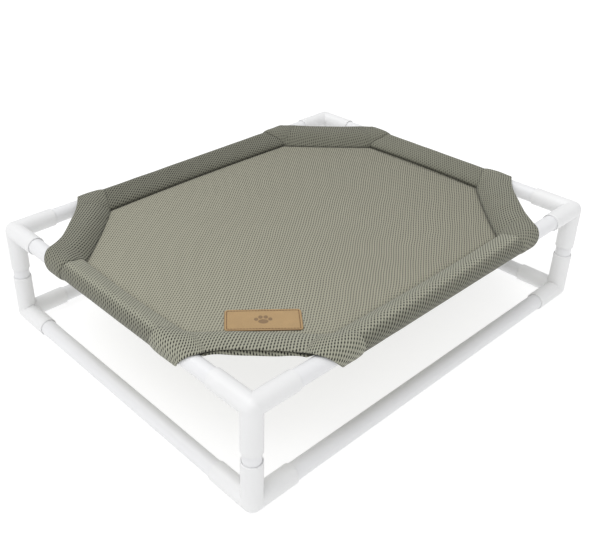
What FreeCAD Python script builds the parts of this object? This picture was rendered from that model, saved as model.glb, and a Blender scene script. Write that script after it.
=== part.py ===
"""Raised dog bed: a push-fit pipe frame that carries a stretched mesh deck.

Millimetres, +Z up.  The origin is on the floor under the middle of the bed, +X runs along the
long side and +Y from the front to the rear.  Four top corner fittings with the deck lift off
the four leg pipes of the lower frame.
"""
import FreeCAD, Part
import Sketcher
import math
import os

from FreeCAD import Placement, Rotation, Vector

# ---------------------------------------------------------------- driving dimensions
SIZES = {
    # pipes and corner fittings
    "pipe_outer": 25.0,          # standard 25 mm pipe
    "pipe_bore": 21.0,
    "fitting_outer": 29.0,
    "socket_bore": 25.1,         # 0.05 mm radial running fit on the pipe
    "arm_length": 68.0,          # hub centre to the rim of a socket
    "socket_shoulder": 18.0,     # hub centre to the stop inside a socket
    "pipe_end_gap": 0.5,         # pipe end to that stop
    "rim_bevel": 1.0,
    "socket_leadin": 0.8,
    # the frame, between pipe axes
    "span_long": 710.0,
    "span_short": 556.0,
    "span_height": 151.0,
    # the mesh deck
    "sleeve_outer": 31.0,        # closed sleeve round a top rail
    "sleeve_bore": 25.7,
    "mouth_outer": 37.0,         # looser end of a corner band, where the rail comes out
    "seam_inset": 35.0,          # rail axis to the seam round the sleeping panel
    "seam_drop": 6.0,            # seam below the rail axes
    "seam_width": 4.0,
    "seam_gap": 0.3,
    "sleeve_half_long": 184.0,   # middle of a rail to the end of its sleeve
    "sleeve_half_short": 107.0,
    "corner_cut": 124.0,         # side of the triangle cut off each corner of the panel
    "band_end_gap": 0.3,
    "fold_from_corner": 84.5,    # along the diagonal, corner to the free edge of a band
    "fold_height": 10.0,         # middle of the folded edge above the rail axes
    "fold_thick": 12.0,
    "fold_round": 3.0,
    "band_half_width": 92.0,
    "panel_thick": 5.0,
    # the leather patch sewn on the panel
    "patch_length": 104.0,
    "patch_width": 50.5,
    "patch_thick": 2.0,
    "patch_round": 6.0,
    "patch_along": -224.5,
    "patch_across": -157.0,
    "patch_turn": -41.0,
}

CORNERS = {
    "front_left": (-1, -1, 0),
    "front_right": (1, -1, 90),
    "rear_right": (1, 1, 180),
    "rear_left": (-1, 1, 270),
}

doc = FreeCAD.newDocument("raised_dog_bed")
subparts = []


def make_sheet():
    """Put every driving dimension in one spreadsheet, each under its alias."""
    sheet = doc.addObject("Spreadsheet::Sheet", "dim")
    for row, (name, value) in enumerate(SIZES.items(), start=1):
        sheet.set(f"A{row}", name)
        sheet.set(f"B{row}", str(value))
        sheet.setAlias(f"B{row}", name)
    doc.recompute()


# ---------------------------------------------------------------- sketch and body helpers
def new_body(label):
    """Start a sub-part."""
    body = doc.addObject("PartDesign::Body", label)
    body.Label = label
    subparts.append(body)
    return body


def origin_feature(body, role):
    """Return one of the body's own origin planes or axes."""
    return next(item for item in body.Origin.OriginFeatures if item.Role == role)


def new_sketch(body, name, role, offset=None, turn=None):
    """Attach a sketch to an origin plane, moved along its normal by an expression."""
    sketch = body.newObject("Sketcher::SketchObject", name)
    sketch.AttachmentSupport = [(origin_feature(body, role), "")]
    sketch.MapMode = "FlatFace"
    if turn is not None:
        sketch.AttachmentOffset = Placement(Vector(), turn)
    if offset is not None:
        sketch.setExpression("AttachmentOffset.Base.z", offset)
    return sketch


def add_circle(sketch, diameter):
    """Draw a circle about the sketch's origin, its diameter an expression."""
    circle = sketch.addGeometry(Part.Circle(Vector(), Vector(0, 0, 1), 10), False)
    sketch.addConstraint(Sketcher.Constraint("Coincident", circle, 3, -1, 1))
    size = sketch.addConstraint(Sketcher.Constraint("Diameter", circle, 20))
    sketch.setExpression(f"Constraints[{size}]", diameter)


def add_outline(sketch, corners):
    """Draw a closed outline whose corners are pairs of expressions, held from the origin."""
    count = len(corners)
    turns = [2 * math.pi * number / count for number in range(count)]
    start = [Vector(10 * math.cos(turn), 10 * math.sin(turn), 0) for turn in turns]
    for number in range(count):
        line = Part.LineSegment(start[number], start[(number + 1) % count])
        sketch.addGeometry(line, False)
    for number in range(count):
        joined = Sketcher.Constraint("Coincident", number, 2, (number + 1) % count, 1)
        sketch.addConstraint(joined)
    for number, corner in enumerate(corners):
        for kind, axis, size in zip(("DistanceX", "DistanceY"), (-2, -1), corner):
            if size == "0":
                on_axis = Sketcher.Constraint("PointOnObject", number, 1, axis)
                sketch.addConstraint(on_axis)
                continue
            held = sketch.addConstraint(Sketcher.Constraint(kind, -1, 1, number, 1, 1.0))
            sketch.setExpression(f"Constraints[{held}]", size)


def pad(body, name, sketch, length, symmetric=False, reverse=False):
    """Extrude a sketch by an expression."""
    feature = body.newObject("PartDesign::Pad", name)
    feature.Profile = sketch
    feature.SideType = "Symmetric" if symmetric else "One side"
    feature.Reversed = reverse
    feature.setExpression("Length", length)
    return feature


def cut_through(body, name, sketch):
    """Cut a sketch right through the body, both ways from its plane."""
    pocket = body.newObject("PartDesign::Pocket", name)
    pocket.Profile = sketch
    pocket.SideType = "Symmetric"
    pocket.Type = "ThroughAll"


def turned(body, kind, name, sketch, axis):
    """Revolve or groove a sketch about one of its own axes."""
    feature = body.newObject(f"PartDesign::{kind}", name)
    feature.Profile = sketch
    feature.ReferenceAxis = (sketch, [axis])
    feature.Angle = 360
    return feature


def place(body, along, across, height, rotation=None):
    """Place a sub-part by expressions for its X, Y and Z."""
    body.Placement = Placement(Vector(), rotation or Rotation())
    body.setExpression("Placement.Base.x", along)
    body.setExpression("Placement.Base.y", across)
    body.setExpression("Placement.Base.z", height)


LOWER_AXIS = "dim.fitting_outer / 2"
UPPER_AXIS = "dim.fitting_outer / 2 + dim.span_height"


# ---------------------------------------------------------------- frame
def make_fitting(label, side_x, side_y, turn, is_top):
    """Three-way corner: a round hub with three stepped sockets, along local +X, +Y and +Z."""
    body = new_body(label)
    hub = body.newObject("PartDesign::AdditiveSphere", label + "_hub")
    hub.setExpression("Radius", "dim.fitting_outer / 2")

    arm = [
        ("0", "0"),
        ("dim.arm_length", "0"),
        ("dim.arm_length", "dim.fitting_outer / 2 - dim.rim_bevel"),
        ("dim.arm_length - dim.rim_bevel", "dim.fitting_outer / 2"),
        ("0", "dim.fitting_outer / 2"),
    ]
    socket = [
        ("0", "0"),
        ("dim.arm_length", "0"),
        ("dim.arm_length", "dim.socket_bore / 2 + dim.socket_leadin"),
        ("dim.arm_length - dim.socket_leadin", "dim.socket_bore / 2"),
        ("dim.socket_shoulder", "dim.socket_bore / 2"),
        ("dim.socket_shoulder", "dim.pipe_bore / 2"),
        ("0", "dim.pipe_bore / 2"),
    ]
    upright = [(radius, length) for length, radius in arm]
    upright_socket = [(radius, length) for length, radius in socket]
    directions = (
        ("x", "XY_Plane", "H_Axis", arm, socket),
        ("y", "XY_Plane", "V_Axis", upright, upright_socket),
        ("z", "XZ_Plane", "V_Axis", upright, upright_socket),
    )
    for name, plane, axis, outline, _ in directions:
        sketch = new_sketch(body, f"{label}_arm_{name}_outline", plane)
        add_outline(sketch, outline)
        turned(body, "Revolution", f"{label}_arm_{name}", sketch, axis)
    doc.recompute()
    for name, plane, axis, _, outline in directions:
        sketch = new_sketch(body, f"{label}_socket_{name}_outline", plane)
        add_outline(sketch, outline)
        turned(body, "Groove", f"{label}_socket_{name}", sketch, axis)

    rotation = Rotation(Vector(0, 0, 1), turn)
    if is_top:
        # half a turn about the diagonal swaps the two level arms and points the third down
        rotation = rotation.multiply(Rotation(Vector(1, 1, 0), 180))
    height = UPPER_AXIS if is_top else LOWER_AXIS
    place(body, f"{side_x} * dim.span_long / 2", f"{side_y} * dim.span_short / 2", height, rotation)


def make_pipe(label, span, along, across, height, rotation):
    """Straight pipe that reaches into the sockets of two fittings, span apart."""
    body = new_body(label)
    sketch = new_sketch(body, label + "_section", "XY_Plane")
    add_circle(sketch, "dim.pipe_outer")
    add_circle(sketch, "dim.pipe_bore")
    length = f"{span} - 2 * (dim.socket_shoulder + dim.pipe_end_gap)"
    pad(body, label + "_length", sketch, length, symmetric=True)
    place(body, along, across, height, rotation)


def make_frame():
    """Eight corner fittings, eight rails and four legs."""
    for level, is_top in (("top", True), ("bottom", False)):
        for corner, (side_x, side_y, turn) in CORNERS.items():
            make_fitting(f"corner_{level}_{corner}", side_x, side_y, turn, is_top)

    lengthways = Rotation(Vector(0, 1, 0), 90)
    crossways = Rotation(Vector(1, 0, 0), 90)
    for level, height in (("top", UPPER_AXIS), ("bottom", LOWER_AXIS)):
        for name, side in (("front", -1), ("rear", 1)):
            across = f"{side} * dim.span_short / 2"
            make_pipe(f"rail_{level}_{name}", "dim.span_long", "0", across, height, lengthways)
        for name, side in (("left", -1), ("right", 1)):
            along = f"{side} * dim.span_long / 2"
            make_pipe(f"rail_{level}_{name}", "dim.span_short", along, "0", height, crossways)

    half_height = "dim.fitting_outer / 2 + dim.span_height / 2"
    for corner, (side_x, side_y, _) in CORNERS.items():
        along = f"{side_x} * dim.span_long / 2"
        across = f"{side_y} * dim.span_short / 2"
        make_pipe(f"leg_{corner}", "dim.span_height", along, across, half_height, Rotation())


# ---------------------------------------------------------------- mesh deck
def make_sleeve(label, half_length, along, across, turn):
    """Closed sleeve round a rail, drawn down on its inner side to the panel's seam.

    Local +X runs along the rail and local +Y points to the middle of the bed.
    """
    body = new_body(label)
    tube = new_sketch(body, label + "_tube_section", "YZ_Plane")
    add_circle(tube, "dim.sleeve_outer")
    length = f"2 * {half_length}"
    pad(body, label + "_tube", tube, length, symmetric=True)

    skirt = new_sketch(body, label + "_skirt_section", "YZ_Plane")
    seam_edge = "dim.seam_inset - dim.seam_gap"
    add_outline(skirt, [
        ("dim.sleeve_outer / 2 * cos(57 deg)", "dim.sleeve_outer / 2 * sin(57 deg)"),
        ("dim.sleeve_outer / 2 * cos(77 deg)", "-dim.sleeve_outer / 2 * sin(77 deg)"),
        (seam_edge, "-dim.seam_drop - dim.seam_width / 2"),
        (seam_edge, "-dim.seam_drop + dim.seam_width / 2"),
    ])
    pad(body, label + "_skirt", skirt, length, symmetric=True)

    bore = new_sketch(body, label + "_bore_section", "YZ_Plane")
    add_circle(bore, "dim.sleeve_bore")
    doc.recompute()
    cut_through(body, label + "_bore", bore)
    place(body, along, across, UPPER_AXIS, Rotation(Vector(0, 0, 1), turn))


def make_corner_band(corner, side_x, side_y, turn):
    """Folded band that bridges a cut corner, with a loose mouth round each of two rails.

    Local +X and +Y run along the two rails, away from the corner of their axes.
    """
    label = f"corner_band_{corner}"
    body = new_body(label)

    # the sloping band, drawn across the diagonal from the free fold to the panel's seam
    across_diagonal = Rotation(Vector(0, 1, 0), 45)
    section = new_sketch(body, label + "_section", "XZ_Plane", turn=across_diagonal)
    corner_to_seam = (
        "(dim.span_long / 2 + dim.span_short / 2"
        " - (dim.span_long / 2 + dim.span_short / 2 - 2 * dim.seam_inset - dim.corner_cut))"
        " / sqrt(2) - dim.seam_gap"
    )
    add_outline(section, [
        ("dim.fold_from_corner", "dim.fold_height + dim.fold_thick / 2 - dim.fold_round"),
        ("dim.fold_from_corner + dim.fold_round", "dim.fold_height + dim.fold_thick / 2"),
        (corner_to_seam, "-dim.seam_drop + dim.seam_width / 2"),
        (corner_to_seam, "-dim.seam_drop - dim.seam_width / 2"),
        ("dim.fold_from_corner + dim.fold_round", "dim.fold_height - dim.fold_thick / 2"),
        ("dim.fold_from_corner", "dim.fold_height - dim.fold_thick / 2 + dim.fold_round"),
    ])
    pad(body, label + "_bridge", section, "2 * dim.band_half_width", symmetric=True)

    # the two mouths; the XZ plane's normal is -Y, so the second one starts at a minus offset
    ends = (
        ("x", "YZ_Plane", 1, "dim.span_long / 2 - dim.sleeve_half_long"),
        ("y", "XZ_Plane", -1, "dim.span_short / 2 - dim.sleeve_half_short"),
    )
    free_edge = "dim.fold_from_corner * sqrt(2)"
    for name, plane, sign, sleeve_end in ends:
        start = f"{sign} * ({free_edge} - dim.mouth_outer / 2)"
        mouth = new_sketch(body, f"{label}_mouth_{name}_section", plane, offset=start)
        add_circle(mouth, "dim.mouth_outer")
        length = f"{sleeve_end} - dim.band_end_gap - {free_edge} + dim.mouth_outer / 2"
        pad(body, f"{label}_mouth_{name}", mouth, length, reverse=sign < 0)
    doc.recompute()
    for name, plane, _, _ in ends:
        bore = new_sketch(body, f"{label}_bore_{name}_section", plane)
        add_circle(bore, "dim.sleeve_bore")
        cut_through(body, f"{label}_bore_{name}", bore)

    # the free edge is one straight cut, so each mouth reaches further along its outer side
    waste = new_sketch(body, label + "_free_edge_outline", "XY_Plane")
    add_outline(waste, [
        ("-dim.mouth_outer", "-dim.mouth_outer"),
        (f"{free_edge} + dim.mouth_outer", "-dim.mouth_outer"),
        ("-dim.mouth_outer", f"{free_edge} + dim.mouth_outer"),
    ])
    cut_through(body, label + "_free_edge", waste)
    place(body, f"{side_x} * dim.span_long / 2", f"{side_y} * dim.span_short / 2", UPPER_AXIS,
          Rotation(Vector(0, 0, 1), turn))


def make_panel():
    """Eight-sided sleeping panel, sewn in below the level of the rails."""
    label = "sleeping_panel"
    body = new_body(label)
    outline = new_sketch(body, label + "_outline", "XY_Plane")
    half_long = "dim.span_long / 2 - dim.seam_inset"
    half_short = "dim.span_short / 2 - dim.seam_inset"
    add_outline(outline, [
        (f"{half_long}", f"{half_short} - dim.corner_cut"),
        (f"{half_long} - dim.corner_cut", f"{half_short}"),
        (f"-({half_long} - dim.corner_cut)", f"{half_short}"),
        (f"-({half_long})", f"{half_short} - dim.corner_cut"),
        (f"-({half_long})", f"-({half_short} - dim.corner_cut)"),
        (f"-({half_long} - dim.corner_cut)", f"-({half_short})"),
        (f"{half_long} - dim.corner_cut", f"-({half_short})"),
        (f"{half_long}", f"-({half_short} - dim.corner_cut)"),
    ])
    pad(body, label + "_cloth", outline, "dim.panel_thick", symmetric=True)
    place(body, "0", "0", f"{UPPER_AXIS} - dim.seam_drop")


def make_patch():
    """Blank leather patch that lies on the panel beside the front left corner."""
    label = "leather_patch"
    body = new_body(label)
    outline = new_sketch(body, label + "_outline", "XY_Plane")
    half_length = "dim.patch_length / 2"
    half_width = "dim.patch_width / 2"
    add_outline(outline, [
        (half_length, half_width),
        (f"-{half_length}", half_width),
        (f"-{half_length}", f"-{half_width}"),
        (half_length, f"-{half_width}"),
    ])
    leather = pad(body, label + "_leather", outline, "dim.patch_thick")
    doc.recompute()
    upright = [
        f"Edge{number}" for number, edge in enumerate(leather.Shape.Edges, start=1)
        if abs(edge.tangentAt(edge.FirstParameter).z) > 0.9
    ]
    rounding = body.newObject("PartDesign::Fillet", label + "_corners")
    rounding.Base = (leather, upright)
    rounding.setExpression("Radius", "dim.patch_round")
    height = f"{UPPER_AXIS} - dim.seam_drop + dim.panel_thick / 2 + dim.seam_gap"
    place(body, "dim.patch_along", "dim.patch_across", height,
          Rotation(Vector(0, 0, 1), SIZES["patch_turn"]))


def make_deck():
    """The sewn cover: panel, four sleeves, four corner bands and the patch."""
    make_panel()
    half_long = "dim.sleeve_half_long"
    half_short = "dim.sleeve_half_short"
    make_sleeve("sleeve_front", half_long, "0", "-dim.span_short / 2", 0)
    make_sleeve("sleeve_right", half_short, "dim.span_long / 2", "0", 90)
    make_sleeve("sleeve_rear", half_long, "0", "dim.span_short / 2", 180)
    make_sleeve("sleeve_left", half_short, "-dim.span_long / 2", "0", 270)
    for corner, (side_x, side_y, turn) in CORNERS.items():
        make_corner_band(corner, side_x, side_y, turn)
    make_patch()


# ---------------------------------------------------------------- checks and export
def check_document():
    """Stop if any object failed to recompute or any sub-part has no valid shape."""
    for item in doc.Objects:
        if "Invalid" in item.State or "Error" in item.State:
            raise RuntimeError(f"{item.Label} did not recompute: {item.State}")
    for body in subparts:
        if body.Shape.isNull() or not body.Shape.isValid() or len(body.Shape.Solids) != 1:
            raise RuntimeError(f"{body.Label} is not one valid solid")


def export_parts():
    """Write one STEP file for each sub-part."""
    os.makedirs("parts", exist_ok=True)
    for body in subparts:
        body.Shape.exportStep(f"parts/{body.Label}.step")


make_sheet()
make_frame()
make_deck()
doc.recompute()
check_document()
export_parts()
print(len(subparts), "sub-parts written")
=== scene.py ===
"""Looks for the raised dog bed: a mesh cover on a white pipe frame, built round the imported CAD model.

Lengths in the cloth functions are millimetres.  A corner's own coordinates are a and b, measured
from the crossing of its two rail axes along the long and the short rail, and w, up from the axes.
"""

import math

import bpy
import numpy as np
from mathutils import Matrix, Vector

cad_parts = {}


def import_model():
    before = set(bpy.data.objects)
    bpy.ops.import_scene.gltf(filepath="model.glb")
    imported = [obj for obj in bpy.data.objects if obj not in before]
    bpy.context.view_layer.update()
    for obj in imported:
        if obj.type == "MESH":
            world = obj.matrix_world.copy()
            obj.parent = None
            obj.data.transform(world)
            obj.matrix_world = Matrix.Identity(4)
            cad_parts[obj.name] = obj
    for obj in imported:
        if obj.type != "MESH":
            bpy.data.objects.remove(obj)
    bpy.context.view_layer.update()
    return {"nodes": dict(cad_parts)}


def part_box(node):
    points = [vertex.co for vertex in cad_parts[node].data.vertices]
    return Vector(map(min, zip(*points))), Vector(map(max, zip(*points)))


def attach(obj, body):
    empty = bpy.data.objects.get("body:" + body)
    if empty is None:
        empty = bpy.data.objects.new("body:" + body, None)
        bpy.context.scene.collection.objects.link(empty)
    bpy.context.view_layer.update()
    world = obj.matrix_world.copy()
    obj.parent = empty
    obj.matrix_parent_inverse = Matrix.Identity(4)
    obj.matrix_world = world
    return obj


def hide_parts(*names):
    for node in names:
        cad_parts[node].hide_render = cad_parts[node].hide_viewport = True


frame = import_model()
MM = 0.001


def middle(node):
    low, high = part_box(node)
    return (low + high) / 2


# ---------------------------------------------------------------- sizes taken from the frame
HALF_X = middle("rail_top_right").x / MM
HALF_Y = middle("rail_top_rear").y / MM
RAIL_Z = middle("rail_top_rear").z / MM
PANEL_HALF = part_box("sleeping_panel")[1] / MM
SEAM_IN = HALF_X - PANEL_HALF.x
SEAM_DROP = RAIL_Z - middle("sleeping_panel").z / MM
PANEL_Z = RAIL_Z - SEAM_DROP

# ---------------------------------------------------------------- sizes of the cover
SLEEVE_R = 15.2
MITRE_LEAN = 12.0
EDGE_TOP = 17.0
EDGE_LOW = 3.0
GROOVE = 12.0
ROLL = 5.0
MOUTH_ROLL = 2.4
SIDE_BOW = 4.0
CUT_BOW = 2.5
PANEL_SAG = 4.0
CLOTH = 2.2
PATCH_LENGTH, PATCH_WIDTH, PATCH_THICK = 104.0, 50.5, 1.7
# the panel's gentle waves: seed, length and height; and the painted shade in its middle, which grows towards
# the right side and falls to none at the left
WAVE_SEED, WAVE_SIZE, WAVE_HEIGHT = 7, 150, 0.5
PANEL_PAINTED_SHADE = 0.11
# the rolled hem thins out from this far along the diagonal, over this distance
THIN_FROM, THIN_OVER = 30, 40
# the weave: ribs across the cloth, pores along them, and the turn of both on the cloth
RIB_PITCH, PORE_PITCH, WEAVE_TURN = 0.00375, 0.0062, math.radians(-36)
N_TOP, N_SEAM, N_WRAP = 10, 30, 22
N_ROWS, N_ROLL = 28, 9


class Corner:
    """One corner of the cover: each was pulled on a little differently.

    vertex: where the seam turns, from the corner, beside the long and the short rail;
    edge: a + b half way along the free edge; mouth: where each rim crosses the top of its rail;
    radius: the cloth's outside there; slant: how far a rim falls back from the top of the rail to
    its underside; pores: how sharp the holes of the mesh look; depth: painted shade over the whole
    band, none at the front left corner and most at the rear right.
    """

    def __init__(self, side_x, side_y, vertex, edge, mouth, radius, slant, pores, depth):
        self.side_x = side_x
        self.side_y = side_y
        self.vertex = vertex
        self.edge = edge
        self.mouth = mouth
        self.radius = radius
        self.slant = slant
        self.pores = pores
        self.depth = depth


# the last number of each corner, depth, is painted shade
CORNERS = {
    "front_left": Corner(-1, -1, (168, 166), 120, (108, 102), (18.2, 16.8), (44, 34), 1.15, 0.0),
    "front_right": Corner(1, -1, (161, 160), 125, (119, 116), (17.6, 17.6), (30, 30), 0.60, 0.29),
    "rear_left": Corner(-1, 1, (156, 151), 125, (117, 110), (17.6, 17.6), (30, 32), 0.80, 0.31),
    "rear_right": Corner(1, 1, (154, 154), 118, (120, 120), (17.8, 17.8), (30, 30), 0.40, 0.46),
}


def smooth(t):
    t = np.clip(t, 0.0, 1.0)
    return t * t * (3 - 2 * t)


def resample(points, count):
    """count + 1 points evenly along a polyline."""
    points = np.asarray(points, float)
    steps = np.linalg.norm(np.diff(points, axis=0), axis=1)
    reach = np.concatenate([[0], np.cumsum(steps)])
    wanted = np.linspace(0, reach[-1], count + 1)
    return np.stack([np.interp(wanted, reach, points[:, k]) for k in range(points.shape[1])], 1)


def arc_length(points):
    steps = np.linalg.norm(np.diff(points, axis=0), axis=1)
    return np.concatenate([[0], np.cumsum(steps)])


# ---------------------------------------------------------------- mesh and cloth helpers
def link(name, mesh):
    piece = bpy.data.objects.new(name, mesh)
    bpy.context.scene.collection.objects.link(piece)
    return piece


def make_mesh(name, points, faces, uv=None, **values):
    """A smooth mesh from points in millimetres; uv has a pair for each face corner, values one each point."""
    mesh = bpy.data.meshes.new(name)
    mesh.from_pydata((np.asarray(points) * MM).tolist(), [], faces)
    mesh.polygons.foreach_set("use_smooth", [True] * len(mesh.polygons))
    if uv is not None:
        layer = mesh.uv_layers.new(name="cloth")
        layer.data.foreach_set("uv", (np.asarray(uv) * MM).ravel())
    for label, amounts in values.items():
        attribute = mesh.attributes.new(label, "FLOAT", "POINT")
        attribute.data.foreach_set("value", np.asarray(amounts, np.float32).ravel())
    mesh.update()
    return link(name, mesh)


def grid_piece(name, points, uv_of, closed, **values):
    """A cloth piece from a grid of points [column, row]."""
    columns, rows = points.shape[:2]
    faces, uv = [], []
    for i in range(columns if closed else columns - 1):
        j = (i + 1) % columns
        for k in range(rows - 1):
            faces.append([i * rows + k, j * rows + k, j * rows + k + 1, i * rows + k + 1])
            uv.extend([uv_of(i, i, k), uv_of(i, i + 1, k), uv_of(i, i + 1, k + 1), uv_of(i, i, k + 1)])
    return make_mesh(name, points.reshape(-1, 3), faces, uv, **values)


def face_outwards(piece, point, normal):
    """Flip the piece if its face nearest to point looks away from normal."""
    centres = np.array([face.center for face in piece.data.polygons])
    nearest = int(np.argmin(((centres - np.array(point) * MM) ** 2).sum(1)))
    if piece.data.polygons[nearest].normal.dot(Vector(normal)) < 0:
        piece.data.flip_normals()


def apply_modifier(piece, modifier):
    bpy.context.view_layer.objects.active = piece
    with bpy.context.temp_override(object=piece, active_object=piece, selected_objects=[piece]):
        bpy.ops.object.modifier_apply(modifier=modifier.name)


def thicken(piece, thickness):
    """Give cloth its thickness, on its inner side."""
    solid = piece.modifiers.new("thickness", "SOLIDIFY")
    solid.thickness = thickness * MM
    solid.offset = -1
    apply_modifier(piece, solid)


def ripple(x, y, seed, size):
    """Gentle unevenness, about -1 to 1, over waves of about size millimetres."""
    rng = np.random.default_rng(seed)
    total = np.zeros(np.broadcast(x, y).shape)
    for _ in range(6):
        turn = rng.uniform(0, 2 * math.pi)
        wave = 2 * math.pi / (size * rng.uniform(0.7, 1.6))
        phase = rng.uniform(0, 2 * math.pi)
        total = total + np.sin((x * math.cos(turn) + y * math.sin(turn)) * wave + phase)
    return total / 3.2


# ---------------------------------------------------------------- sleeves
def sleeve_section():
    """Inboard and up of the sleeve's section, in three runs: seam to top, round, and back to the seam."""
    seam = np.array([SEAM_IN, -SEAM_DROP])
    low_seam = np.array([SEAM_IN, -SEAM_DROP - 1.6])
    runs = []
    for corner, side in ((seam, 1), (low_seam, -1)):
        turn = math.atan2(corner[1], corner[0])
        tangent = turn + side * math.acos(SLEEVE_R / np.linalg.norm(corner))
        touch = SLEEVE_R * np.array([math.cos(tangent), math.sin(tangent)])
        share = np.linspace(0, 1, 30)[:, None]
        line = corner + (touch - corner) * share
        if side > 0:
            across = np.array([math.cos(tangent), math.sin(tangent)])
            line = line + across * 4.2 * np.sin(math.pi * share ** 0.62)
        turns = np.linspace(tangent, side * math.pi / 2, 12)[1:]
        arc = SLEEVE_R * np.stack([np.cos(turns), np.sin(turns)], 1)
        runs.append(np.concatenate([line, arc]))
    turns = np.linspace(math.pi / 2, 3 * math.pi / 2, N_WRAP + 1)
    outer = SLEEVE_R * np.stack([np.cos(turns), np.sin(turns)], 1)
    return resample(runs[0], N_TOP), outer, resample(runs[1][::-1], N_TOP)


SECTION = sleeve_section()


def mitre(inboard, vertex):
    """Distance along the rail from its corner to the mitre seam."""
    return vertex + MITRE_LEAN * smooth((SEAM_IN - inboard) / SEAM_IN)


def seam_bow(share):
    """How far a straight side's seam is drawn outwards, with share from -1 to 1 along it."""
    return SIDE_BOW * (1 - share ** 2)


# the last number of each sleeve, depth, is painted shade, most on the rear and right sleeves
SLEEVES = {
    "front": (1, -1, "front_left", "front_right", 1.0, 0.90, 0.02),
    "rear": (1, 1, "rear_left", "rear_right", -0.4, 0.60, 0.47),
    "left": (0, -1, "front_left", "rear_left", -0.2, 0.65, 0.0),
    "right": (0, 1, "front_right", "rear_right", -0.3, 0.35, 0.41),
}


def make_sleeve(side, number):
    """Closed sleeve round one rail. side is front, rear, left or right."""
    long_rail, sign, first, last, fuller, open_pores, depth = SLEEVES[side]
    ring = np.concatenate([SECTION[0][:-1], SECTION[1][:-1], SECTION[2]])
    arcs = arc_length(ring)
    half = HALF_X if long_rail else HALF_Y
    which = 0 if long_rail else 1
    shares = np.sin(np.linspace(-1, 1, 91) * math.pi / 2 * 0.9) / math.sin(math.pi / 2 * 0.9)
    columns, rows = len(ring), len(shares)
    points = np.zeros((columns, rows, 3))
    flat = np.zeros((columns, rows, 2))
    for i, (inboard, up) in enumerate(ring):
        reaches = [half - mitre(inboard, CORNERS[name].vertex[which]) + 3.0 for name in (first, last)]
        along = np.where(shares < 0, shares * reaches[0], shares * reaches[1])
        drawn = np.clip((inboard - 8.0) / (SEAM_IN - 8.0), 0, 1) * seam_bow(shares)
        end = np.exp(-((1 - np.abs(shares)) * half / 4.0) ** 2)
        radial = np.array([inboard, up]) / max(math.hypot(inboard, up), 1e-6)
        uneven = 0.5 * ripple(along, arcs[i] * 1.5, 40 + number, 46) * (0.25 if inboard < 0 else 0.7)
        grow = -0.9 * end + (uneven + fuller) * np.clip((34 - inboard) / 10, 0, 1)
        across = sign * (half_other(long_rail) - inboard + drawn - radial[0] * grow)
        height = RAIL_Z + up + radial[1] * grow
        unrolled = sign * (half_other(long_rail) - SEAM_IN + arcs[i]) + 0 * along
        if long_rail:
            points[i] = np.stack([along, across, height], 1)
            flat[i] = np.stack([along, unrolled], 1)
        else:
            points[i] = np.stack([across, along, height], 1)
            flat[i] = np.stack([unrolled, along], 1)
    # the outer, lower side of the sleeve: more open pores where the cloth stretches round the rail, and more
    # painted shade where it faces outwards and down
    outer = smooth(-ring[:, 0] / 13) * (ring[:, 1] < 14)
    pores = np.tile((open_pores + 0.25 * outer)[:, None], (1, rows))
    depth = np.tile((depth + 0.34 * outer)[:, None], (1, rows))
    # crease: painted shade along both seam edges of the sleeve
    edge = np.minimum(arcs, arcs[-1] - arcs)
    crease = np.tile(np.exp(-(edge / 1.2) ** 2)[:, None], (1, rows))
    piece = grid_piece(f"cover_sleeve_{side}", points, lambda own, i, k: flat[i, k], False,
                       pores=pores, crease=crease, depth=depth)
    top = (0, sign * HALF_Y, RAIL_Z + SLEEVE_R) if long_rail else (sign * HALF_X, 0, RAIL_Z + SLEEVE_R)
    face_outwards(piece, top, (0, 0, 1))
    thicken(piece, CLOTH)
    return piece


def half_other(long_rail):
    """Distance of the rail from the middle of the bed."""
    return HALF_Y if long_rail else HALF_X


# ---------------------------------------------------------------- corner bands
S_IN = 61.5


def free_edge(corner, s):
    """a + b along the free edge, at s along the diagonal from its middle (a - b over root two)."""
    mouth = np.where(s > 0, corner.mouth[0], corner.mouth[1])
    return corner.edge + (mouth - corner.edge) * np.clip(np.abs(s) * math.sqrt(2) / mouth, 0, 1) ** 4


def roll_at(s):
    """Depth of the rolled hem, least at the mouths."""
    least = MOUTH_ROLL / math.sqrt(2)
    return least + (ROLL - least) * (1 - smooth((np.abs(s) - THIN_FROM) / THIN_OVER))


def edge_place(corner, s, up):
    """A point over the free edge, set back by the depth of the roll."""
    total = free_edge(corner, s) + roll_at(s) * math.sqrt(2)
    return np.stack([total / 2 + s / math.sqrt(2), total / 2 - s / math.sqrt(2), up + 0 * s], -1)


def swap(points):
    """The same points seen from the other rail."""
    return points[:, [1, 0, 2]]


def inner_ring(corner):
    """The band's seam: round the mitre on each rail and along the cut side of the panel."""
    sides = []
    for vertex in corner.vertex:
        sides.append([np.stack([mitre(run[:, 0], vertex), run[:, 0], run[:, 1]], 1) for run in SECTION])
    (top, outer, low), (top_2, outer_2, low_2) = sides
    share = np.linspace(0, 1, N_SEAM + 1)[:, None]
    bow = CUT_BOW * np.sin(math.pi * share) * np.array([[1, 1, 0]]) / math.sqrt(2)
    seam = top[0] + (swap(top_2)[0] - top[0]) * share + bow
    low_seam = low[-1] + (swap(low_2)[-1] - low[-1]) * share + bow
    return [top[::-1], seam, swap(top_2), swap(outer_2), swap(low_2), low_seam[::-1], low[::-1], outer[::-1]]


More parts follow.
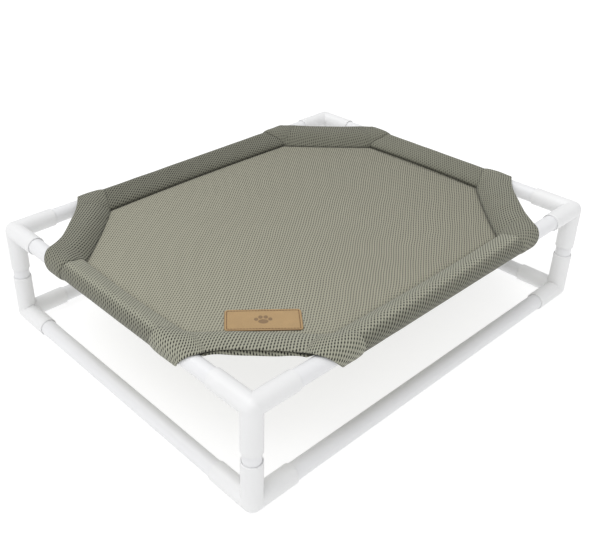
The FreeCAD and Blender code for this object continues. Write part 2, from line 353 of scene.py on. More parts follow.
def edge_ring(corner, groove):
    """The outline of the free edge and both mouths; groove gives the line inside the rolled hem."""
    radii = [radius - 3.4 * groove for radius in corner.radius]
    ends = [mouth / math.sqrt(2) for mouth in corner.mouth]

    def top_height(s):
        far = np.abs(s)
        radius = np.where(s > 0, radii[0], radii[1])
        if groove:
            return GROOVE + 0.4 + (radius - GROOVE - 0.4) * smooth((far - 46) / 26)
        return EDGE_TOP + (radius - EDGE_TOP) * smooth((far - 25) / 50)

    def low_height(s):
        if groove:
            return GROOVE - 0.4 - 1.2 * smooth((np.abs(s) - 46) / (S_IN - 46))
        return EDGE_LOW + 5.2 * smooth((np.abs(s) - 22) / (S_IN - 22))

    def over(s):
        return edge_place(corner, s, top_height(s))

    turns = np.linspace(0, math.pi, N_WRAP + 1)
    inward = np.linspace(0, math.pi / 2, N_TOP + 1)
    wraps, unders = [], []
    for which, sign in ((0, 1), (1, -1)):
        radius = radii[which]
        back = corner.mouth[which] + MOUTH_ROLL
        along = back + corner.slant[which] * (turns / math.pi) ** 1.15
        wraps.append(np.stack([along, -radius * np.sin(turns), radius * np.cos(turns)], 1))
        hem = edge_place(corner, np.array([sign * S_IN]), low_height(np.array([sign * S_IN])))[0]
        if which:
            hem = hem[[1, 0, 2]]
        share = (inward / (math.pi / 2)) ** 3.0
        under = np.stack([along[-1] + (hem[0] - along[-1]) * share, (hem[1] - 3 * groove) * np.sin(inward),
                          -radius + (radius + hem[2]) * (1 - np.cos(inward))], 1)
        unders.append(under)
    s_mid = np.linspace(S_IN, -S_IN, N_SEAM + 1)
    low_mid = edge_place(corner, -s_mid, low_height(-s_mid))
    if groove:
        low_mid[0] = swap(unders[1])[-1]
        low_mid[-1] = unders[0][-1]
    first, last = np.linspace(ends[0], S_IN, N_TOP + 1), np.linspace(-S_IN, -ends[1], N_TOP + 1)
    return [over(first), over(s_mid), over(last), swap(wraps[1]),
            swap(unders[1]), low_mid, unders[0][::-1], wraps[0][::-1]]


def joined(runs):
    """One closed ring from runs that share their ends."""
    return np.concatenate([run[:-1] for run in runs])


def ring_labels():
    counts = [N_TOP, N_SEAM, N_TOP, N_WRAP, N_TOP, N_SEAM, N_TOP, N_WRAP]
    return np.concatenate([np.full(count, number) for number, count in enumerate(counts)])


def band_points(corner, seed):
    """Grid [column, row] of one corner band in its corner's own coordinates, with its labels."""
    start = joined(inner_ring(corner))
    shoulder = joined(edge_ring(corner, False))
    groove = joined(edge_ring(corner, True))
    label = ring_labels()
    columns = len(label)
    v = np.linspace(0, 1, N_ROWS + 1)

    # how quickly each column rises from the seam: steep beside it, then nearly level
    bend = np.select([np.isin(label, (0, 1, 2)), np.isin(label, (4, 5, 6))], [3.2, 1.15], 6.0)
    for _ in range(12):
        bend = (np.roll(bend, 1) + bend * 2 + np.roll(bend, -1)) / 4
    ease = 1 - (1 - v[None, :]) ** bend[:, None]
    grid = start[:, None, :] + (shoulder - start)[:, None, :] * v[None, :, None]
    grid[:, :, 2] = start[:, None, 2] + (shoulder - start)[:, None, 2] * ease

    # keep the seam, the rim and the room round each rail while the rest settles
    growth = 1 - np.exp(-v / 0.11)
    for _ in range(10):
        around = (np.roll(grid, 1, 0) + np.roll(grid, -1, 0))[:, 1:-1]
        along = grid[:, 2:] + grid[:, :-2]
        grid[:, 1:-1] = grid[:, 1:-1] * 0.5 + (around + along) * 0.125
        for axis, radius in ((1, corner.radius[0]), (0, corner.radius[1])):
            room = SLEEVE_R + (radius - SLEEVE_R) * growth
            side = grid[:, :, axis]
            far = np.hypot(side, grid[:, :, 2])
            push = np.where(far < room[None, :], room[None, :] / np.maximum(far, 1e-6), 1.0)
            push[:, [0, -1]] = 1.0
            grid[:, :, axis] = side * push
            grid[:, :, 2] *= push

    # small unevenness, none at the seams
    hold = (np.sin(math.pi * v) ** 0.6)[None, :]
    lift = ripple(grid[:, :, 0], grid[:, :, 1], seed, 40) * 0.7 * hold
    grid[:, :, 2] += lift * np.sign(grid[:, :, 2] + 8)

    # the edge rolls over into the groove
    outward = np.zeros((columns, 3))
    outward[np.isin(label, (0, 1, 2, 4, 5, 6))] = (-1, -1, 0)
    outward[label == 3] = (0, -1.4, 0)
    outward[label == 7] = (-1.4, 0, 0)
    for _ in range(10):
        outward = (np.roll(outward, 1, 0) + outward * 2 + np.roll(outward, -1, 0)) / 4
    outward /= np.linalg.norm(outward, axis=1)[:, None]
    spread = (shoulder[:, 0] - shoulder[:, 1]) / math.sqrt(2)
    size = MOUTH_ROLL + (ROLL - MOUTH_ROLL) * (1 - smooth((np.abs(spread) - THIN_FROM) / THIN_OVER))
    turns = np.linspace(0, math.pi, N_ROLL + 1)[1:]
    roll = (shoulder[:, None, :] + (groove - shoulder)[:, None, :] * ((1 - np.cos(turns)) / 2)[None, :, None]
            + outward[:, None, :] * size[:, None, None] * np.sin(turns)[None, :, None])
    return np.concatenate([grid, roll], 1), label, outward


def band_layout(points, label, outward):
    """Where each point lies on the flat cloth: the upper layer unrolled from the seam, and the lower."""
    columns = len(points)
    top_arc = arc_length(SECTION[0])
    full = np.concatenate([SECTION[0][:-1], SECTION[1]])
    round_arc = arc_length(full)
    begin = points[:, 0, :2].copy()
    for number, run in ((0, top_arc[::-1][:-1]), (7, round_arc[N_TOP:][::-1][:-1])):
        chosen = np.where(label == number)[0]
        begin[chosen, 1] = SEAM_IN - run
    for number, run in ((2, top_arc[:-1]), (3, round_arc[N_TOP:-1])):
        chosen = np.where(label == number)[0]
        begin[chosen, 0] = SEAM_IN - run
    after_wrap = np.where(label == 4)[0][0]
    begin[after_wrap, 0] = SEAM_IN - round_arc[-1]
    step = np.diff(points, axis=1)
    length = np.linalg.norm(step, axis=2)
    heading = step[:, :, :2] / np.maximum(np.linalg.norm(step[:, :, :2], axis=2), 1e-6)[:, :, None]
    sideways = outward[:, :2] / np.linalg.norm(outward[:, :2], axis=1)[:, None]
    heading[:, N_ROWS:] = sideways[:, None, :]
    upper = np.concatenate([np.zeros((columns, 1, 2)), np.cumsum(heading * length[:, :, None], 1)], 1)
    upper += begin[:, None, :]
    lower = points[:, :, :2].copy()
    past_shoulder = np.cumsum(length[:, N_ROWS:], 1)[:, :, None]
    lower[:, N_ROWS + 1:] = lower[:, N_ROWS:N_ROWS + 1] + sideways[:, None, :] * past_shoulder
    return upper, lower


def make_band(name, number):
    corner = CORNERS[name]
    points, label, outward = band_points(corner, 100 + number)
    upper, lower = band_layout(points, label, outward)
    columns = len(points)

    def world(flat):
        x = corner.side_x * (HALF_X - flat[..., 0])
        y = corner.side_y * (HALF_Y - flat[..., 1])
        return np.stack([x, y], -1)

    upper, lower = world(upper), world(lower)
    placed = np.concatenate([world(points), RAIL_Z + points[..., 2:]], -1)

    def uv_of(own, i, k):
        return (lower if label[own] in (4, 5, 6) else upper)[i % columns, k]

    reach = np.concatenate([np.linspace(0, 1, N_ROWS + 1), np.full(N_ROLL, 1.0)])
    pores = np.tile(corner.pores * (0.85 + 0.35 * reach ** 2), (columns, 1))
    # crease: painted shade beside the seam, growing into the groove under the rolled hem
    walked = np.linalg.norm(np.diff(points, axis=1), axis=2)
    walked = np.concatenate([np.zeros((columns, 1)), np.cumsum(walked, 1)], 1)
    crease = np.exp(-(walked / 1.6) ** 2)
    crease[:, N_ROWS:] += (np.linspace(0, 1, N_ROLL + 1) ** 3)[None, :]
    # depth: the corner's painted shade, even over the band
    depth = np.full(pores.shape, corner.depth)
    piece = grid_piece(f"cover_corner_{name}", placed, uv_of, True, pores=pores, crease=crease, depth=depth)
    middle_out = sum(corner.vertex) / 4 + 10
    top = (corner.side_x * (HALF_X - middle_out), corner.side_y * (HALF_Y - middle_out), RAIL_Z + 15)
    face_outwards(piece, top, (0, 0, 1))
    thicken(piece, CLOTH)
    return piece


# ---------------------------------------------------------------- sleeping panel
def seam_vertices():
    """The eight vertices of the seam, anticlockwise from the front left one beside the front rail."""
    vertices = []
    for name, long_first in (("front_left", False), ("front_right", True), ("rear_right", False),
                             ("rear_left", True)):
        corner = CORNERS[name]
        beside_long = (corner.side_x * (HALF_X - corner.vertex[0]), corner.side_y * (HALF_Y - SEAM_IN))
        beside_short = (corner.side_x * (HALF_X - SEAM_IN), corner.side_y * (HALF_Y - corner.vertex[1]))
        vertices.extend([beside_long, beside_short] if long_first else [beside_short, beside_long])
    return np.array(vertices)


def panel_outline():
    """The seam round the panel, one point every few millimetres, with each side's slight bow."""
    vertices = seam_vertices()
    sides = []
    for number in range(8):
        start, end = vertices[number], vertices[(number + 1) % 8]
        is_cut = number % 2 == 0
        share = np.linspace(0, 1, 33 if is_cut else 65)[:-1, None]
        step = (end - start) / np.linalg.norm(end - start)
        outwards = np.array([step[1], -step[0]])
        bow = -CUT_BOW * np.sin(math.pi * share) if is_cut else seam_bow(2 * share - 1)
        sides.append(start + (end - start) * share + outwards * bow)
    return np.concatenate(sides)


def seam_strength(y):
    """How far the panel's seam groove sinks and how dark its painted shade is: both fade towards the rear."""
    return 1 - 0.65 * smooth((y - 60) / 110)


def panel_drop(x, y):
    """How far the cloth hangs below the seam, and the distance to the nearest side."""
    gaps = [HALF_X - SEAM_IN - x, HALF_X - SEAM_IN + x, HALF_Y - SEAM_IN - y, HALF_Y - SEAM_IN + y]
    for corner in CORNERS.values():
        reach = (HALF_X + HALF_Y - SEAM_IN - sum(corner.vertex) / 2) / math.sqrt(2)
        gaps.append(reach - (corner.side_x * x + corner.side_y * y) / math.sqrt(2))
    near = sum(np.maximum(gap, 0.5) ** -3.0 for gap in gaps) ** (-1 / 3.0)
    return PANEL_SAG * (1 - np.exp(-near / 70.0)) + 2.4 * seam_strength(y) * np.exp(-(near / 3.5) ** 2), near


def make_panel():
    outline = panel_outline()
    beside_seam = np.array([-0.012, -0.006, 0, 0.004, 0.009, 0.016, 0.026])
    rings = 1 - np.concatenate([beside_seam, np.linspace(0.04, 0.985, 54)])
    points = np.zeros((len(outline), len(rings), 3))
    points[:, :, :2] = outline[:, None, :] * rings[None, :, None]
    x, y = points[:, :, 0], points[:, :, 1]
    drop, near = panel_drop(x, y)
    calm = np.clip(near / 40, 0, 1)
    points[:, :, 2] = PANEL_Z - drop + WAVE_HEIGHT * calm * ripple(x, y, WAVE_SEED, WAVE_SIZE)
    points[:, :3, 2] = PANEL_Z - np.array([1.0, 1.3, 1.8])
    pores = np.full(points.shape[:2], 0.5)
    # crease: painted shade along the seam, in a narrow and a wide band, weaker towards the rear
    walked = np.linalg.norm(points[:, :, :2] - points[:, 2:3, :2], axis=2)
    crease = seam_strength(y) * (0.4 * np.exp(-(walked / 1.6) ** 2) + 0.6 * np.exp(-(walked / 5.0) ** 2))
    # painted shade: the panel is darker towards the right side and lighter towards the left
    depth = PANEL_PAINTED_SHADE + PANEL_PAINTED_SHADE * np.clip(x / 320, -1, 1)
    piece = grid_piece("cover_panel", points, lambda own, i, k: points[i % len(outline), k, :2], True,
                       pores=pores, crease=crease, depth=depth)
    count = len(rings)
    cap = [i * count + count - 1 for i in range(len(outline))]
    flat = [tuple(points[i, -1, :2]) for i in range(len(outline))]
    return close_cap(piece, cap, flat)


def close_cap(piece, ring, flat):
    """Close the small hole in the middle of the panel with one ring of faces round a centre point."""
    mesh = piece.data
    points = np.array([tuple(vertex.co) for vertex in mesh.vertices]) / MM
    faces = [list(face.vertices) for face in mesh.polygons]
    uv = [tuple(np.array(loop.uv) / MM) for loop in mesh.uv_layers["cloth"].data]
    pores = [0.5] * (len(points) + 1)
    crease = [item.value for item in mesh.attributes["crease"].data] + [0.0]
    depth = [item.value for item in mesh.attributes["depth"].data] + [PANEL_PAINTED_SHADE]
    centre = points[ring].mean(0)
    points = np.concatenate([points, centre[None, :]])
    for number, vertex in enumerate(ring):
        following = (number + 1) % len(ring)
        faces.append([vertex, ring[following], len(points) - 1])
        uv.extend([flat[number], flat[following], tuple(centre[:2])])
    name = piece.name
    bpy.data.objects.remove(piece)
    closed = make_mesh(name, points, faces, uv, pores=pores, crease=crease, depth=depth)
    face_outwards(closed, (60, 60, PANEL_Z), (0, 0, 1))
    thicken(closed, CLOTH)
    return closed


# ---------------------------------------------------------------- leather patch and its stitching
PATCH_TURN = math.radians(-41)


def rounded_outline(inset, radius, count=12):
    """Outline of the patch, moved in by inset, anticlockwise."""
    half_long = PATCH_LENGTH / 2 - inset
    half_short = PATCH_WIDTH / 2 - inset
    radius = max(radius - inset, 0.4)
    points = []
    for number, (side_x, side_y) in enumerate(((1, 1), (-1, 1), (-1, -1), (1, -1))):
        for turn in np.linspace(number * math.pi / 2, (number + 1) * math.pi / 2, count):
            points.append((side_x * (half_long - radius) + radius * math.cos(turn),
                           side_y * (half_short - radius) + radius * math.sin(turn)))
    return np.array(points)


def on_panel(flat, up):
    """Patch coordinates to the panel's surface."""
    centre = middle("leather_patch") / MM
    cosine, sine = math.cos(PATCH_TURN), math.sin(PATCH_TURN)
    turn = np.array([[cosine, -sine], [sine, cosine]])
    plan = flat @ turn.T + np.array([centre.x, centre.y])
    drop, _ = panel_drop(plan[:, 0], plan[:, 1])
    calm = ripple(plan[:, 0], plan[:, 1], WAVE_SEED, WAVE_SIZE) * WAVE_HEIGHT
    return np.column_stack([plan, PANEL_Z - drop + calm + up])


def make_patch():
    """Leather plate with rounded edges and a pressed line inside its border."""
    profile = [(0.25, 0.15), (0, 0.4), (0, PATCH_THICK - 0.5), (0.15, PATCH_THICK - 0.15), (0.5, PATCH_THICK),
               (2.7, PATCH_THICK), (3.1, PATCH_THICK - 0.28), (3.7, PATCH_THICK - 0.28), (4.1, PATCH_THICK)]
    profile += [(inset, PATCH_THICK) for inset in np.linspace(6, 23.2, 12)]
    rings = [rounded_outline(inset, 6.0) for inset, _ in profile]
    count = len(rings[0])
    points = np.concatenate([on_panel(ring, up) for ring, (_, up) in zip(rings, profile)])
    flat = np.concatenate(rings)
    faces = []
    for number in range(len(profile) - 1):
        for i in range(count):
            j = (i + 1) % count
            here, following = number * count, (number + 1) * count
            faces.append([here + i, here + j, following + j, following + i])
    last = (len(profile) - 1) * count
    faces.append(list(range(last, last + count)))
    faces.append(list(range(count - 1, -1, -1)))
    uv = [flat[vertex] for face in faces for vertex in face]
    return make_mesh("leather_label", points, faces, uv)


def stitch_run(line, normals, length, gap, radius):
    """Small raised stitches along a line of points in millimetres: points and faces of one mesh."""
    reach = arc_length(line)
    total = reach[-1]
    number = max(1, int(total // (length + gap)))
    pitch = total / number
    points, faces = [], []
    around = 6
    for index in range(number):
        begin = index * pitch
        shares = np.linspace(0, 1, 6)
        where = begin + shares * (pitch - gap)
        spine = np.stack([np.interp(where, reach, line[:, k]) for k in range(3)], 1)
        up = np.stack([np.interp(where, reach, normals[:, k]) for k in range(3)], 1)
        up /= np.linalg.norm(up, axis=1)[:, None]
        tangent = np.gradient(spine, axis=0)
        tangent /= np.linalg.norm(tangent, axis=1)[:, None]
        side = np.cross(tangent, up)
        arch = np.sin(math.pi * shares)
        base = len(points)
        for k in range(len(shares)):
            size = radius * (0.45 + 0.55 * arch[k] ** 0.5)
            centre = spine[k] + up[k] * radius * (1.5 * arch[k] - 0.7)
            for step in range(around):
                turn = 2 * math.pi * step / around
                points.append(centre + size * (math.cos(turn) * side[k] + math.sin(turn) * up[k]))
        for k in range(len(shares) - 1):
            for step in range(around):
                following = (step + 1) % around
                faces.append([base + k * around + step, base + k * around + following,
                              base + (k + 1) * around + following, base + (k + 1) * around + step])
        faces.append([base + step for step in range(around - 1, -1, -1)])
        faces.append([base + (len(shares) - 1) * around + step for step in range(around)])
    return points, faces


def make_patch_stitches():
    outline = rounded_outline(3.4, 6.0)
    outline = np.concatenate([outline, outline[:1]])
    line = on_panel(outline, PATCH_THICK - 0.1)
    normals = np.tile([0.0, 0.0, 1.0], (len(line), 1))
    points, faces = stitch_run(line, normals, 3.0, 1.1, 0.33)
    return make_mesh("label_stitching", points, faces)


def make_edge_stitches(name):
    """Running stitches in the groove of a corner band's free edge."""
    corner = CORNERS[name]
    s = np.linspace(40, -40, 80)
    local = edge_place(corner, s, GROOVE + 0 * s)
    local[:, :2] -= 1.2
    line = np.stack([corner.side_x * (HALF_X - local[:, 0]), corner.side_y * (HALF_Y - local[:, 1]),
                     RAIL_Z + local[:, 2]], 1)
    normals = np.tile([corner.side_x * 0.7, corner.side_y * 0.7, 0.1], (len(s), 1))
    points, faces = stitch_run(line, normals, 3.2, 1.4, 0.3)
    return make_mesh(f"edge_stitching_{name}", points, faces)


# ---------------------------------------------------------------- material nodes
class Nodes:
    """Short calls for building a node material."""

    def __init__(self, name):
        self.material = bpy.data.materials.new(name)
        self.material.use_nodes = True
        self.tree = self.material.node_tree
        self.tree.nodes.clear()
        self.shader = self.tree.nodes.new("ShaderNodeBsdfPrincipled")
        output = self.tree.nodes.new("ShaderNodeOutputMaterial")
        self.tree.links.new(self.shader.outputs[0], output.inputs["Surface"])

    def node(self, kind, **inputs):
        made = self.tree.nodes.new(kind)
        for name, value in inputs.items():
            self.put(value, made.inputs[name.replace("_", " ")])
        return made

    def put(self, value, socket):
        if isinstance(value, bpy.types.NodeSocket):
            self.tree.links.new(value, socket)
        else:
            socket.default_value = value

    def math(self, operation, *values):
        made = self.tree.nodes.new("ShaderNodeMath")
        made.operation = operation
        for number, value in enumerate(values):
            self.put(value, made.inputs[number])
        return made.outputs[0]

    def noise(self, vector, scale, detail=3.0, roughness=0.5):
        made = self.node("ShaderNodeTexNoise", Vector=vector, Scale=scale, Detail=detail, Roughness=roughness)
        return made.outputs["Fac"]

    def remap(self, value, low, high, out_low, out_high):
        made = self.tree.nodes.new("ShaderNodeMapRange")
        made.interpolation_type = "SMOOTHSTEP"
        for number, each in enumerate((value, low, high, out_low, out_high)):
            self.put(each, made.inputs[number])
        return made.outputs[0]

    def mix(self, share, first, second):
        made = self.tree.nodes.new("ShaderNodeMix")
        made.data_type = "RGBA"
        self.put(share, made.inputs[0])
        self.put(first, made.inputs[6])
        self.put(second, made.inputs[7])
        return made.outputs[2]

    def bump(self, height, distance, strength=1.0, normal=None):
        made = self.node("ShaderNodeBump", Height=height, Distance=distance, Strength=strength)
        if normal is not None:
            self.put(normal, made.inputs["Normal"])
        return made.outputs["Normal"]


def scaled(colour, factor):
    """The colour made lighter or darker, with alpha."""
    return tuple(min(c * factor, 1) for c in colour) + (1,)


def mesh_material(name, light, dark, depth, line):
    """Air mesh: ribs 3.75 mm apart across the cloth, with long pores between them."""
    n = Nodes(name)
    uv = n.node("ShaderNodeUVMap")
    uv.uv_map = "cloth"
    turn = n.node("ShaderNodeMapping", Vector=uv.outputs[0], Rotation=(0, 0, WEAVE_TURN))
    warp = n.node("ShaderNodeTexNoise", Vector=turn.outputs[0], Scale=9.0, Detail=2.0)
    drift = n.math("MULTIPLY", n.math("SUBTRACT", warp.outputs["Fac"], 0.5), 0.010)
    split = n.node("ShaderNodeSeparateXYZ", Vector=turn.outputs[0])
    along = n.math("DIVIDE", split.outputs[0], PORE_PITCH)
    across = n.math("DIVIDE", n.math("ADD", split.outputs[1], drift), RIB_PITCH)
    whole = n.math("FLOOR", across)
    stagger = n.math("MULTIPLY", whole, 0.27)
    wave = n.math("COSINE", n.math("MULTIPLY", across, math.tau))
    between = n.math("SUBTRACT", 0.5, n.math("MULTIPLY", wave, 0.5))
    beat = n.math("COSINE", n.math("MULTIPLY", n.math("ADD", along, stagger), math.tau))
    place = n.math("ADD", 0.5, n.math("MULTIPLY", beat, 0.5))
    open_ = n.node("ShaderNodeAttribute")
    open_.attribute_name = "pores"
    shape = n.math("MULTIPLY", between, n.math("ADD", 0.22, n.math("MULTIPLY", place, 0.78)))
    pore = n.remap(shape, 0.36, 0.74, 0.0, 1.0)
    groove = n.remap(between, 0.25, 1.0, 0.0, 1.0)
    pore_dark = n.math("MULTIPLY", pore, open_.outputs["Fac"])
    groove_dark = n.math("MULTIPLY", n.math("MULTIPLY", groove, line), open_.outputs["Fac"])
    # painted shade: the piece's depth attribute darkens the cloth on top of its pores
    painted_shade_attribute = n.node("ShaderNodeAttribute")
    painted_shade_attribute.attribute_name = "depth"
    shade = n.math("ADD", n.math("ADD", pore_dark, groove_dark), painted_shade_attribute.outputs["Fac"])
    shade = n.math("MINIMUM", shade, 1.0)
    # painted shade along the seams and into the hem's groove, from the crease attribute
    seam_shade_attribute = n.node("ShaderNodeAttribute")
    seam_shade_attribute.attribute_name = "crease"

    # soft bands where the two faces of the mesh fall in and out of step
    wander = n.node("ShaderNodeTexNoise", Vector=uv.outputs[0], Scale=2.6, Detail=1.0)
    side = n.node("ShaderNodeSeparateXYZ", Vector=uv.outputs[0])
    slant = n.math("ADD", n.math("MULTIPLY", side.outputs[0], 0.64),
                   n.math("MULTIPLY", side.outputs[1], -0.77))
    bent = n.math("ADD", slant, n.math("MULTIPLY", wander.outputs["Fac"], 0.22))
    band = n.math("SINE", n.math("MULTIPLY", bent, math.tau / 0.021))
    tone = n.noise(uv.outputs[0], 16.0)
    fibre = n.noise(turn.outputs[0], 900.0, 2.0)
    level = n.math("ADD", n.math("MULTIPLY", band, 0.035),
                   n.math("MULTIPLY", n.math("SUBTRACT", tone, 0.5), 0.16))
    level = n.math("ADD", level, n.math("MULTIPLY", n.math("SUBTRACT", fibre, 0.5), 0.18))
    yarn = n.mix(n.math("ADD", 0.5, level), scaled(light, 0.80), scaled(light, 1.20))
    cloth = n.mix(shade, yarn, dark + (1,))
    painted_seam_shade = n.math("MULTIPLY", seam_shade_attribute.outputs["Fac"], 0.42)
    n.put(n.mix(painted_seam_shade, cloth, dark + (1,)), n.shader.inputs["Base Color"])
    n.put(n.math("ADD", 0.72, n.math("MULTIPLY", shade, 0.2)), n.shader.inputs["Roughness"])
    sunk = n.math("ADD", n.math("MULTIPLY", between, 0.35), n.math("MULTIPLY", pore, 0.65))
    rib = n.math("SUBTRACT", 1.0, sunk)
    height = n.math("ADD", rib, n.math("MULTIPLY", fibre, 0.12))
    n.put(n.bump(height, depth, 0.9), n.shader.inputs["Normal"])
    n.shader.inputs["Sheen Weight"].default_value = 0.12
    n.shader.inputs["Sheen Roughness"].default_value = 0.5
    n.shader.inputs["Specular IOR Level"].default_value = 0.25
    return n.material


def plastic_material(name, colour, roughness, grain):
    """White pipe plastic: satin, with faint mottling, a little orange peel and light scuffs."""
    n = Nodes(name)
    place = n.node("ShaderNodeTexCoord").outputs["Object"]
    mottle = n.noise(place, 22.0, 4.0)
    fine = n.noise(place, 420.0, 3.0)
    stretch = n.node("ShaderNodeMapping", Vector=place, Scale=grain)
    scuff = n.remap(n.noise(stretch.outputs[0], 60.0, 5.0, 0.7), 0.62, 0.74, 0.0, 1.0)
    dust = n.remap(n.noise(place, 55.0, 6.0, 0.65), 0.52, 0.80, 0.0, 1.0)
    base = n.mix(mottle, scaled(colour, 0.965), scaled(colour, 1.02))
    worn = n.mix(n.math("MULTIPLY", scuff, 0.10), base, (0.62, 0.62, 0.62, 1))
    n.put(n.mix(n.math("MULTIPLY", dust, 0.05), worn, (0.70, 0.69, 0.66, 1)), n.shader.inputs["Base Color"])
    rough = n.math("ADD", roughness, n.math("MULTIPLY", n.math("ADD", scuff, mottle), 0.10))
    n.put(rough, n.shader.inputs["Roughness"])
    height = n.math("ADD", n.math("MULTIPLY", fine, 0.4), n.math("MULTIPLY", scuff, -0.3))
    n.put(n.bump(height, 0.00006, 0.6), n.shader.inputs["Normal"])
    n.shader.inputs["IOR"].default_value = 1.5
    n.shader.inputs["Specular IOR Level"].default_value = 0.4
    return n.material


def leather_material(name, colour):
    """Smooth tan leather with fine grain, burnished edges and a plain paw mark pressed into it."""
    n = Nodes(name)
    uv = n.node("ShaderNodeUVMap")
    uv.uv_map = "cloth"
    cells = n.node("ShaderNodeTexVoronoi", Vector=uv.outputs[0], Scale=1150.0)
    cells.feature = "DISTANCE_TO_EDGE"
    crease = n.remap(cells.outputs["Distance"], 0.0, 0.12, 0.0, 1.0)
    tone = n.noise(uv.outputs[0], 45.0, 5.0, 0.6)
    fine = n.noise(uv.outputs[0], 700.0, 3.0)
    split = n.node("ShaderNodeSeparateXYZ", Vector=uv.outputs[0])
    x, y = split.outputs[0], split.outputs[1]
    mark = None
    pads = [(0.0, -4.2, 7.0, 5.4), (-9.4, 1.2, 2.9, 3.9), (-3.6, 6.2, 3.0, 4.1),
            (3.6, 6.2, 3.0, 4.1), (9.4, 1.2, 2.9, 3.9)]
    for centre_x, centre_y, wide, tall in pads:
        part_x = n.math("DIVIDE", n.math("SUBTRACT", x, centre_x * MM), wide * MM)
        part_y = n.math("DIVIDE", n.math("SUBTRACT", y, centre_y * MM), tall * MM)
        far = n.math("SQRT", n.math("ADD", n.math("POWER", part_x, 2.0), n.math("POWER", part_y, 2.0)))
        pad = n.remap(far, 0.9, 1.06, 1.0, 0.0)
        mark = pad if mark is None else n.math("MAXIMUM", mark, pad)
    edge_x = n.math("SUBTRACT", PATCH_LENGTH / 2 * MM, n.math("ABSOLUTE", x))
    edge_y = n.math("SUBTRACT", PATCH_WIDTH / 2 * MM, n.math("ABSOLUTE", y))
    edge = n.remap(n.math("MINIMUM", edge_x, edge_y), 0.0, 0.0011, 1.0, 0.0)
    near = n.math("ABSOLUTE", n.math("SUBTRACT", n.math("MINIMUM", edge_x, edge_y), 0.0034))
    border = n.remap(near, 0.0003, 0.0008, 1.0, 0.0)
    base = n.mix(tone, scaled(colour, 0.86), scaled(colour, 1.12))
    grain = n.math("MULTIPLY", n.math("SUBTRACT", 1.0, crease), 0.22)
    base = n.mix(grain, base, scaled(colour, 0.5))
    base = n.mix(n.math("MULTIPLY", edge, 0.72), base, (0.12, 0.055, 0.022, 1))
    base = n.mix(n.math("MULTIPLY", border, 0.55), base, (0.16, 0.075, 0.03, 1))
    n.put(n.mix(n.math("MULTIPLY", mark, 0.62), base, (0.13, 0.08, 0.05, 1)), n.shader.inputs["Base Color"])
    n.put(n.math("ADD", 0.46, n.math("MULTIPLY", tone, 0.2)), n.shader.inputs["Roughness"])
    height = n.math("ADD", n.math("MULTIPLY", crease, 0.35), n.math("MULTIPLY", fine, 0.15))
    height = n.math("SUBTRACT", height, n.math("MULTIPLY", mark, 1.2))
    n.put(n.bump(height, 0.00022, 0.8), n.shader.inputs["Normal"])
    n.shader.inputs["Specular IOR Level"].default_value = 0.35
    return n.material


def thread_material(name, colour):
    """Twisted sewing thread."""
    n = Nodes(name)
    place = n.node("ShaderNodeTexCoord").outputs["Object"]
    twist = n.noise(place, 1800.0, 2.0)
    n.put(n.mix(twist, scaled(colour, 0.7), scaled(colour, 1.25)), n.shader.inputs["Base Color"])
    n.put(n.bump(twist, 0.00008, 0.7), n.shader.inputs["Normal"])
    n.shader.inputs["Roughness"].default_value = 0.7
    return n.material


def floor_material():
    """Pale studio floor that gives off a little light, so that shadows stay faint."""
    n = Nodes("floor")
    place = n.node("ShaderNodeTexCoord").outputs["Object"]
    shade = n.mix(n.noise(place, 3.0, 2.0), (0.40, 0.40, 0.40, 1), (0.42, 0.42, 0.42, 1))
    n.put(shade, n.shader.inputs["Base Color"])
    n.shader.inputs["Roughness"].default_value = 0.9
    n.shader.inputs["Specular IOR Level"].default_value = 0.1
    n.shader.inputs["Emission Color"].default_value = (1, 1, 1, 1)
    n.shader.inputs["Emission Strength"].default_value = 0.70
    return n.material


def wear(piece, material):
    piece.data.materials.clear()
    piece.data.materials.append(material)


# ---------------------------------------------------------------- camera, light and floor
FLOOR_RADIUS = 14000


def add_camera():
    data = bpy.data.cameras.new("camera")
    camera = bpy.data.objects.new("camera", data)
    bpy.context.scene.collection.objects.link(camera)
    forward = Vector((0.5833, 0.6482, -0.4895)).normalized()
    level = forward.cross(Vector((0, 0, 1))).normalized()
    down = forward.cross(level)
    roll = math.radians(0.28)
    right = level * math.cos(roll) + down * math.sin(roll)
    up = right.cross(forward)
    camera.matrix_world = Matrix((
        (right.x, up.x, -forward.x, -0.8300),
        (right.y, up.y, -forward.y, -0.8048),
        (right.z, up.z, -forward.z, 0.7884),
        (0, 0, 0, 1),
    ))
    data.sensor_width = 36
    data.sensor_fit = "HORIZONTAL"
    data.lens = 49.69
    data.shift_x = 0.0759
    data.shift_y = -0.0748
    data.clip_end = 60
    bpy.context.scene.camera = camera


def add_light(name, toward, strength, spread):
    """A soft sun that shines from toward."""
    data = bpy.data.lights.new(name, "SUN")
    data.energy = strength
    data.angle = math.radians(spread)
    lamp = bpy.data.objects.new(name, data)
    bpy.context.scene.collection.objects.link(lamp)
    lamp.rotation_euler = Vector(toward).to_track_quat("Z", "Y").to_euler()


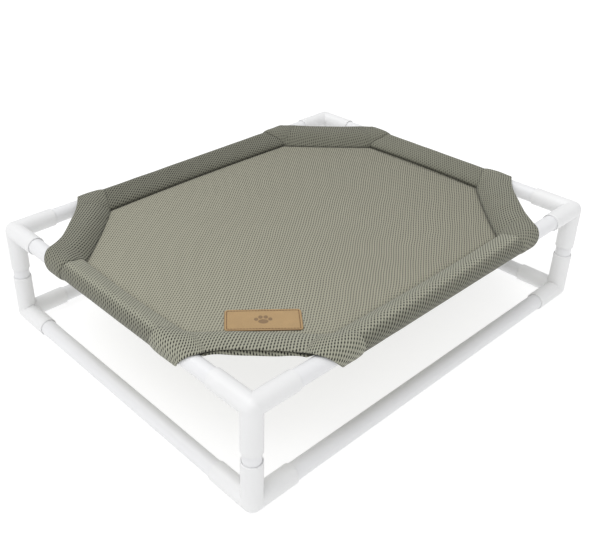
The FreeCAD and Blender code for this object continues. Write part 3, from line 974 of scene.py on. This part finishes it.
def add_studio():
    """Two soft suns, a round floor, and a sky that is white to the camera and dimmer as a light."""
    scene = bpy.context.scene
    scene.view_settings.view_transform = "Standard"
    world = bpy.data.worlds.new("studio")
    scene.world = world
    world.use_nodes = True
    sky = world.node_tree.nodes["Background"]
    sky.inputs["Color"].default_value = (1, 1, 1, 1)
    seen = world.node_tree.nodes.new("ShaderNodeLightPath")
    level = world.node_tree.nodes.new("ShaderNodeMapRange")
    level.inputs["To Min"].default_value = 0.54
    level.inputs["To Max"].default_value = 1.0
    world.node_tree.links.new(seen.outputs["Is Camera Ray"], level.inputs["Value"])
    world.node_tree.links.new(level.outputs["Result"], sky.inputs["Strength"])
    add_light("key", (-0.25, 0.32, 1.0), 1.20, 50)
    add_light("fill", (-0.45, -0.45, 1.0), 0.85, 50)

    turns = np.linspace(0, math.tau, 65)[:-1]
    rim = np.stack([FLOOR_RADIUS * np.cos(turns), FLOOR_RADIUS * np.sin(turns), 0 * turns], 1)
    floor = make_mesh("studio_floor", rim, [list(range(len(turns)))])
    wear(floor, floor_material())


# ---------------------------------------------------------------- put it together
add_camera()
add_studio()

fitting = plastic_material("fitting_white", (0.80, 0.802, 0.806), 0.30, (1, 1, 1))
pipe = plastic_material("pipe_white", (0.79, 0.793, 0.806), 0.26, (1, 1, 1))
for node, piece in frame["nodes"].items():
    if node.startswith(("corner_top", "corner_bottom")):
        wear(piece, fitting)
    elif node.startswith(("rail_", "leg_")):
        wear(piece, pipe)

YARN = (0.370, 0.361, 0.282)
# the dark inside the pores, also the colour of all painted shade on the cloth
PORE_AND_PAINTED_SHADE = (0.022, 0.021, 0.016)
panel_cloth = mesh_material("panel_mesh_cloth", YARN, PORE_AND_PAINTED_SHADE, 0.0004, 0.50)
band_cloth = mesh_material("band_mesh_cloth", (0.352, 0.352, 0.278), PORE_AND_PAINTED_SHADE, 0.0007, 0.30)
leather = leather_material("tan_leather_plain", (0.445, 0.297, 0.146))
dark_thread = thread_material("dark_thread", (0.13, 0.07, 0.035))
olive_thread = thread_material("olive_thread", (0.17, 0.165, 0.125))

panel = make_panel()
wear(panel, panel_cloth)
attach(panel, "deck")
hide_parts("sleeping_panel")

for number, side in enumerate(("front", "rear", "left", "right")):
    sleeve = make_sleeve(side, number)
    wear(sleeve, band_cloth)
    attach(sleeve, "deck")
    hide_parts(f"sleeve_{side}")

for number, corner in enumerate(CORNERS):
    band = make_band(corner, number)
    wear(band, band_cloth)
    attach(band, "deck")
    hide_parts(f"corner_band_{corner}")
    stitches = make_edge_stitches(corner)
    wear(stitches, olive_thread)
    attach(stitches, "deck")

patch = make_patch()
wear(patch, leather)
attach(patch, "deck")
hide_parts("leather_patch")
stitches = make_patch_stitches()
wear(stitches, dark_thread)
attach(stitches, "deck")
